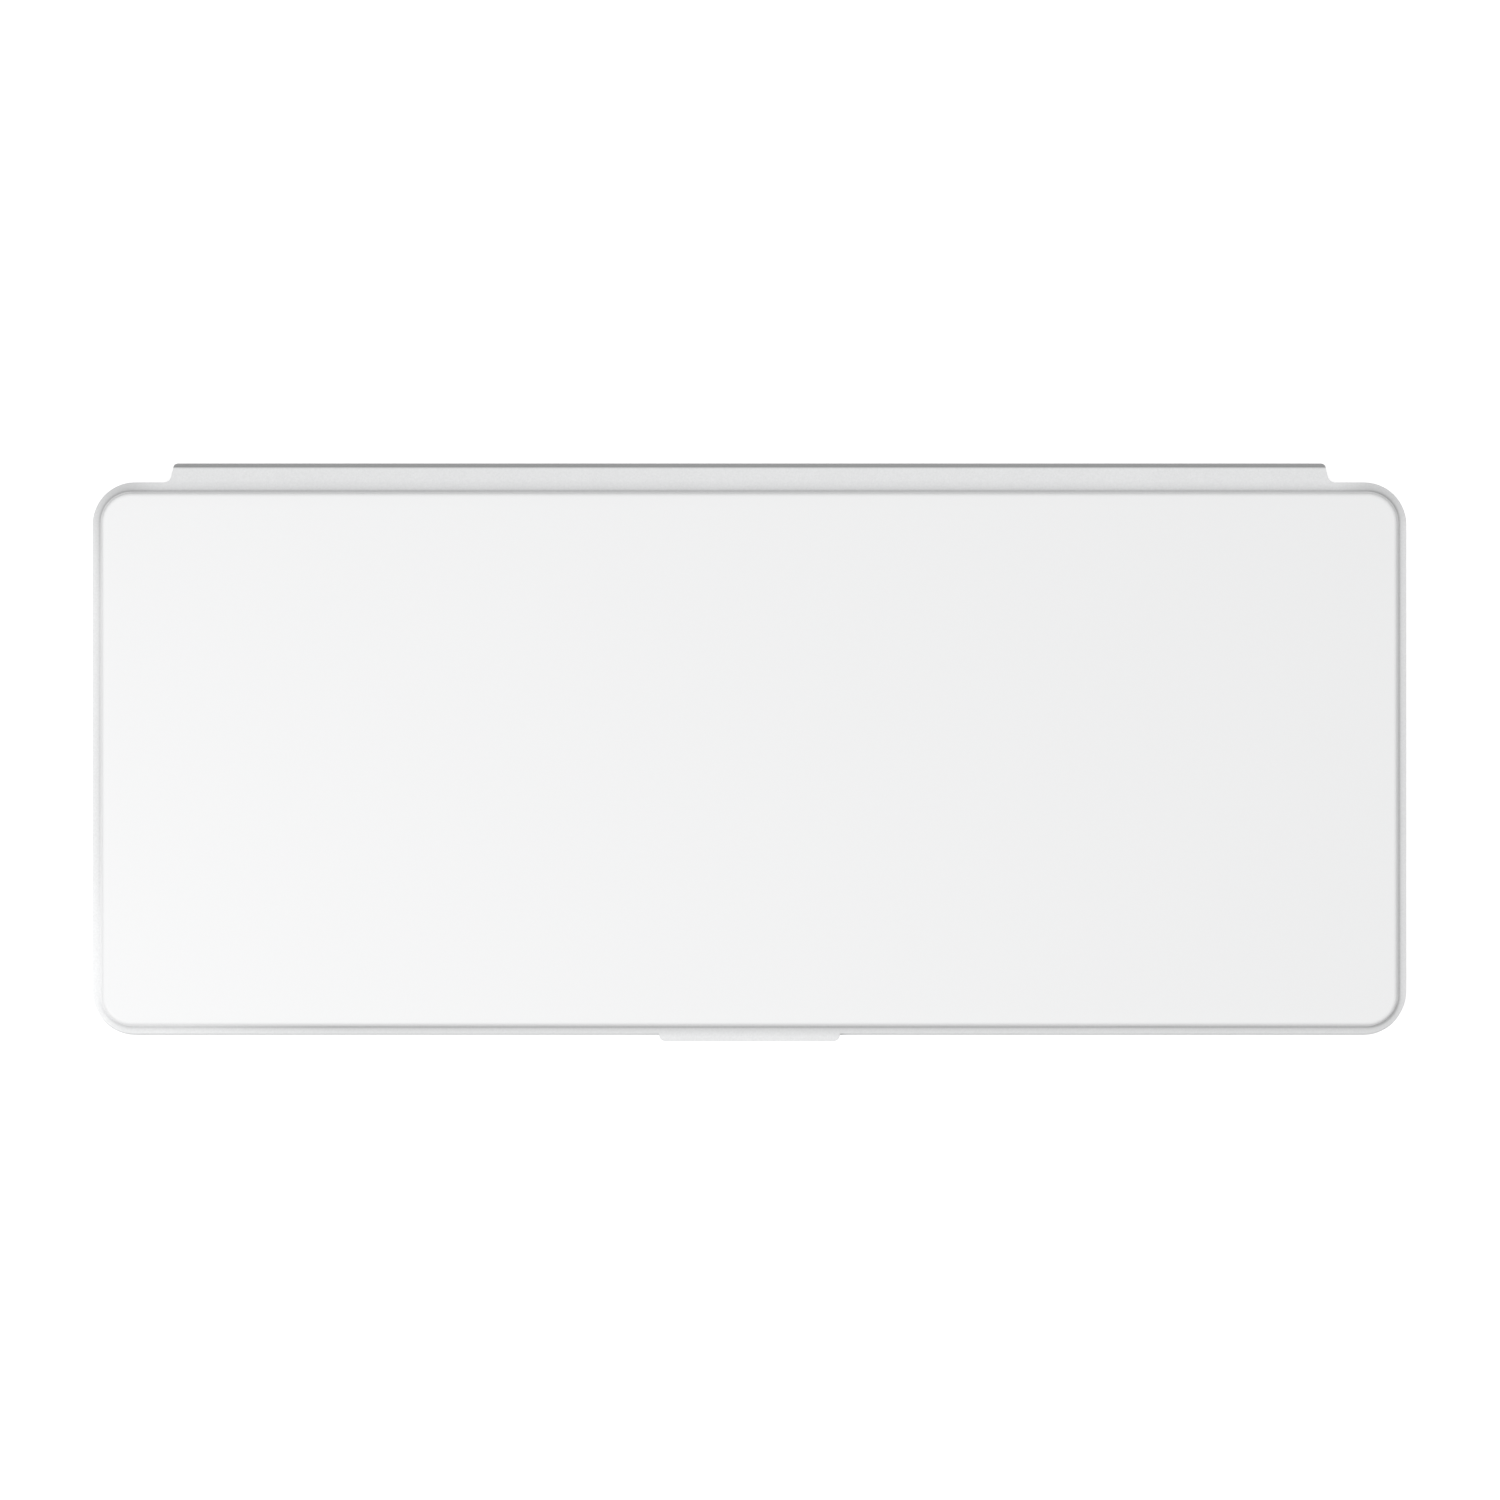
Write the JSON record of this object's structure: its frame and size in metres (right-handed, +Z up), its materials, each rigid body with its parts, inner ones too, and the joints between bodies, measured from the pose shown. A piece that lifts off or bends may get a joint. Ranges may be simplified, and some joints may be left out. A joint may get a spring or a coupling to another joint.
{
  "type": "computer keyboard",
  "caption": "Slim travel keyboard with a folding cover: scissor keys in a thin base, a soft spine with two folds and a raised stiff cover panel.",
  "frame": {"origin": "bottom centre of the shut keyboard, on the plane of its rubber feet", "axes": "+X along the width to the right, +Y to the folding spine at the rear, +Z up"},
  "size_m": [0.252, 0.1108, 0.0091],
  "materials": {
    "housing_plastic": "fine matte moulded plastic",
    "key_plastic": "fine matte moulded plastic",
    "plate_steel": "rolled sheet",
    "circuit_film": "printed polyester film",
    "link_plastic": "natural moulded plastic",
    "dome_rubber": "matte silicone",
    "spring_wire": "plain steel",
    "board_laminate": "solder mask",
    "cell_steel": "nickel plated",
    "contact_brass": "spring brass",
    "switch_plastic": "fine matte moulded plastic",
    "clear_lens": "clear, polished",
    "foot_rubber": "matte rubber",
    "magnet_metal": "nickel plated",
    "cover_skin": "soft matte sheet",
    "cover_panel": "fine satin",
    "cover_lining": "short soft nap",
    "spine_fabric": "fine grained synthetic leather",
    "strip_plastic": "plain sheet"
  },
  "bodies": {
    "base": {"base_tray": "housing_plastic", "key_deck": "housing_plastic", "key_web": "housing_plastic", "support_plate": "plate_steel", "membrane_circuit": "circuit_film", "scissor_links": "link_plastic", "rubber_domes": "dome_rubber", "circuit_board": "board_laminate", "coin_cells": "cell_steel", "battery_contacts": "contact_brass", "battery_door": "housing_plastic", "screws": "spring_wire", "indicator_lens": "clear_lens", "rubber_feet": "foot_rubber", "base_magnets": "magnet_metal"},
    "spine": {"spine_strip": "strip_plastic", "spine_skin": "spine_fabric"},
    "cover": {"cover_skin": "cover_skin", "cover_panel": "cover_panel", "cover_liner": "cover_lining", "cover_magnets": "magnet_metal", "cover_pads": "foot_rubber"},
    "power_switch": {"power_switch": "switch_plastic"},
    "key_q": {"key_q": "key_plastic"},
    "key_w": {"key_w": "key_plastic"},
    "key_e": {"key_e": "key_plastic"},
    "key_r": {"key_r": "key_plastic"},
    "key_t": {"key_t": "key_plastic"},
    "key_y": {"key_y": "key_plastic"},
    "key_u": {"key_u": "key_plastic"},
    "key_i": {"key_i": "key_plastic"},
    "key_o": {"key_o": "key_plastic"},
    "key_p": {"key_p": "key_plastic"},
    "key_a": {"key_a": "key_plastic"},
    "key_s": {"key_s": "key_plastic"},
    "key_d": {"key_d": "key_plastic"},
    "key_f": {"key_f": "key_plastic"},
    "key_g": {"key_g": "key_plastic"},
    "key_h": {"key_h": "key_plastic"},
    "key_j": {"key_j": "key_plastic"},
    "key_k": {"key_k": "key_plastic"},
    "key_l": {"key_l": "key_plastic"},
    "key_z": {"key_z": "key_plastic"},
    "key_x": {"key_x": "key_plastic"},
    "key_c": {"key_c": "key_plastic"},
    "key_v": {"key_v": "key_plastic"},
    "key_b": {"key_b": "key_plastic"},
    "key_n": {"key_n": "key_plastic"},
    "key_m": {"key_m": "key_plastic"},
    "key_space": {"key_space": "key_plastic", "space_stabiliser": "spring_wire"},
    "key_enter": {"key_enter": "key_plastic"},
    "key_backspace": {"key_backspace": "key_plastic"},
    "key_left_shift": {"key_left_shift": "key_plastic"},
    "key_right_shift": {"key_right_shift": "key_plastic"},
    "function_keys": {"function_keys": "key_plastic"},
    "number_keys": {"number_keys": "key_plastic"},
    "punctuation_keys": {"punctuation_keys": "key_plastic"},
    "modifier_keys": {"modifier_keys": "key_plastic"},
    "arrow_keys": {"arrow_keys": "key_plastic"}
  },
  "joints": [
    {"name": "spine_fold", "type": "hinge", "parent": "base", "child": "spine", "pos_m": [0, 0.05453, 0.00265], "axis": [-1, 0, 0], "range_deg": [0, 180], "deforming": ["spine_skin"]},
    {"name": "cover_fold", "type": "hinge", "parent": "spine", "child": "cover", "pos_m": [0, 0.05453, 0.00735], "axis": [-1, 0, 0], "range_deg": [0, 180], "deforming": ["spine_skin"]},
    {"name": "key_q_press", "type": "slide", "parent": "base", "child": "key_q", "axis": [0, 0, -1], "range_m": [0, 0.001], "stiffness_N_per_m": 400, "deforming": ["scissor_links", "rubber_domes"]},
    {"name": "key_w_press", "type": "slide", "parent": "base", "child": "key_w", "axis": [0, 0, -1], "range_m": [0, 0.001], "stiffness_N_per_m": 400, "deforming": ["scissor_links", "rubber_domes"]},
    {"name": "key_e_press", "type": "slide", "parent": "base", "child": "key_e", "axis": [0, 0, -1], "range_m": [0, 0.001], "stiffness_N_per_m": 400, "deforming": ["scissor_links", "rubber_domes"]},
    {"name": "key_r_press", "type": "slide", "parent": "base", "child": "key_r", "axis": [0, 0, -1], "range_m": [0, 0.001], "stiffness_N_per_m": 400, "deforming": ["scissor_links", "rubber_domes"]},
    {"name": "key_t_press", "type": "slide", "parent": "base", "child": "key_t", "axis": [0, 0, -1], "range_m": [0, 0.001], "stiffness_N_per_m": 400, "deforming": ["scissor_links", "rubber_domes"]},
    {"name": "key_y_press", "type": "slide", "parent": "base", "child": "key_y", "axis": [0, 0, -1], "range_m": [0, 0.001], "stiffness_N_per_m": 400, "deforming": ["scissor_links", "rubber_domes"]},
    {"name": "key_u_press", "type": "slide", "parent": "base", "child": "key_u", "axis": [0, 0, -1], "range_m": [0, 0.001], "stiffness_N_per_m": 400, "deforming": ["scissor_links", "rubber_domes"]},
    {"name": "key_i_press", "type": "slide", "parent": "base", "child": "key_i", "axis": [0, 0, -1], "range_m": [0, 0.001], "stiffness_N_per_m": 400, "deforming": ["scissor_links", "rubber_domes"]},
    {"name": "key_o_press", "type": "slide", "parent": "base", "child": "key_o", "axis": [0, 0, -1], "range_m": [0, 0.001], "stiffness_N_per_m": 400, "deforming": ["scissor_links", "rubber_domes"]},
    {"name": "key_p_press", "type": "slide", "parent": "base", "child": "key_p", "axis": [0, 0, -1], "range_m": [0, 0.001], "stiffness_N_per_m": 400, "deforming": ["scissor_links", "rubber_domes"]},
    {"name": "key_a_press", "type": "slide", "parent": "base", "child": "key_a", "axis": [0, 0, -1], "range_m": [0, 0.001], "stiffness_N_per_m": 400, "deforming": ["scissor_links", "rubber_domes"]},
    {"name": "key_s_press", "type": "slide", "parent": "base", "child": "key_s", "axis": [0, 0, -1], "range_m": [0, 0.001], "stiffness_N_per_m": 400, "deforming": ["scissor_links", "rubber_domes"]},
    {"name": "key_d_press", "type": "slide", "parent": "base", "child": "key_d", "axis": [0, 0, -1], "range_m": [0, 0.001], "stiffness_N_per_m": 400, "deforming": ["scissor_links", "rubber_domes"]},
    {"name": "key_f_press", "type": "slide", "parent": "base", "child": "key_f", "axis": [0, 0, -1], "range_m": [0, 0.001], "stiffness_N_per_m": 400, "deforming": ["scissor_links", "rubber_domes"]},
    {"name": "key_g_press", "type": "slide", "parent": "base", "child": "key_g", "axis": [0, 0, -1], "range_m": [0, 0.001], "stiffness_N_per_m": 400, "deforming": ["scissor_links", "rubber_domes"]},
    {"name": "key_h_press", "type": "slide", "parent": "base", "child": "key_h", "axis": [0, 0, -1], "range_m": [0, 0.001], "stiffness_N_per_m": 400, "deforming": ["scissor_links", "rubber_domes"]},
    {"name": "key_j_press", "type": "slide", "parent": "base", "child": "key_j", "axis": [0, 0, -1], "range_m": [0, 0.001], "stiffness_N_per_m": 400, "deforming": ["scissor_links", "rubber_domes"]},
    {"name": "key_k_press", "type": "slide", "parent": "base", "child": "key_k", "axis": [0, 0, -1], "range_m": [0, 0.001], "stiffness_N_per_m": 400, "deforming": ["scissor_links", "rubber_domes"]},
    {"name": "key_l_press", "type": "slide", "parent": "base", "child": "key_l", "axis": [0, 0, -1], "range_m": [0, 0.001], "stiffness_N_per_m": 400, "deforming": ["scissor_links", "rubber_domes"]},
    {"name": "key_z_press", "type": "slide", "parent": "base", "child": "key_z", "axis": [0, 0, -1], "range_m": [0, 0.001], "stiffness_N_per_m": 400, "deforming": ["scissor_links", "rubber_domes"]},
    {"name": "key_x_press", "type": "slide", "parent": "base", "child": "key_x", "axis": [0, 0, -1], "range_m": [0, 0.001], "stiffness_N_per_m": 400, "deforming": ["scissor_links", "rubber_domes"]},
    {"name": "key_c_press", "type": "slide", "parent": "base", "child": "key_c", "axis": [0, 0, -1], "range_m": [0, 0.001], "stiffness_N_per_m": 400, "deforming": ["scissor_links", "rubber_domes"]},
    {"name": "key_v_press", "type": "slide", "parent": "base", "child": "key_v", "axis": [0, 0, -1], "range_m": [0, 0.001], "stiffness_N_per_m": 400, "deforming": ["scissor_links", "rubber_domes"]},
    {"name": "key_b_press", "type": "slide", "parent": "base", "child": "key_b", "axis": [0, 0, -1], "range_m": [0, 0.001], "stiffness_N_per_m": 400, "deforming": ["scissor_links", "rubber_domes"]},
    {"name": "key_n_press", "type": "slide", "parent": "base", "child": "key_n", "axis": [0, 0, -1], "range_m": [0, 0.001], "stiffness_N_per_m": 400, "deforming": ["scissor_links", "rubber_domes"]},
    {"name": "key_m_press", "type": "slide", "parent": "base", "child": "key_m", "axis": [0, 0, -1], "range_m": [0, 0.001], "stiffness_N_per_m": 400, "deforming": ["scissor_links", "rubber_domes"]},
    {"name": "key_space_press", "type": "slide", "parent": "base", "child": "key_space", "axis": [0, 0, -1], "range_m": [0, 0.001], "stiffness_N_per_m": 400, "deforming": ["scissor_links", "rubber_domes"]},
    {"name": "key_enter_press", "type": "slide", "parent": "base", "child": "key_enter", "axis": [0, 0, -1], "range_m": [0, 0.001], "stiffness_N_per_m": 400, "deforming": ["scissor_links", "rubber_domes"]},
    {"name": "key_backspace_press", "type": "slide", "parent": "base", "child": "key_backspace", "axis": [0, 0, -1], "range_m": [0, 0.001], "stiffness_N_per_m": 400, "deforming": ["scissor_links", "rubber_domes"]},
    {"name": "key_left_shift_press", "type": "slide", "parent": "base", "child": "key_left_shift", "axis": [0, 0, -1], "range_m": [0, 0.001], "stiffness_N_per_m": 400, "deforming": ["scissor_links", "rubber_domes"]},
    {"name": "key_right_shift_press", "type": "slide", "parent": "base", "child": "key_right_shift", "axis": [0, 0, -1], "range_m": [0, 0.001], "stiffness_N_per_m": 400, "deforming": ["scissor_links", "rubber_domes"]},
    {"name": "function_keys_press", "type": "slide", "parent": "base", "child": "function_keys", "axis": [0, 0, -1], "range_m": [0, 0.001], "stiffness_N_per_m": 400, "deforming": ["scissor_links", "rubber_domes"]},
    {"name": "number_keys_press", "type": "slide", "parent": "base", "child": "number_keys", "axis": [0, 0, -1], "range_m": [0, 0.001], "stiffness_N_per_m": 400, "deforming": ["scissor_links", "rubber_domes"]},
    {"name": "punctuation_keys_press", "type": "slide", "parent": "base", "child": "punctuation_keys", "axis": [0, 0, -1], "range_m": [0, 0.001], "stiffness_N_per_m": 400, "deforming": ["scissor_links", "rubber_domes"]},
    {"name": "modifier_keys_press", "type": "slide", "parent": "base", "child": "modifier_keys", "axis": [0, 0, -1], "range_m": [0, 0.001], "stiffness_N_per_m": 400, "deforming": ["scissor_links", "rubber_domes"]},
    {"name": "arrow_keys_press", "type": "slide", "parent": "base", "child": "arrow_keys", "axis": [0, 0, -1], "range_m": [0, 0.001], "stiffness_N_per_m": 400, "deforming": ["scissor_links", "rubber_domes"]},
    {"name": "power_switch_slide", "type": "slide", "parent": "base", "child": "power_switch", "axis": [0, 1, 0], "range_m": [0, 0.003]}
  ]
}
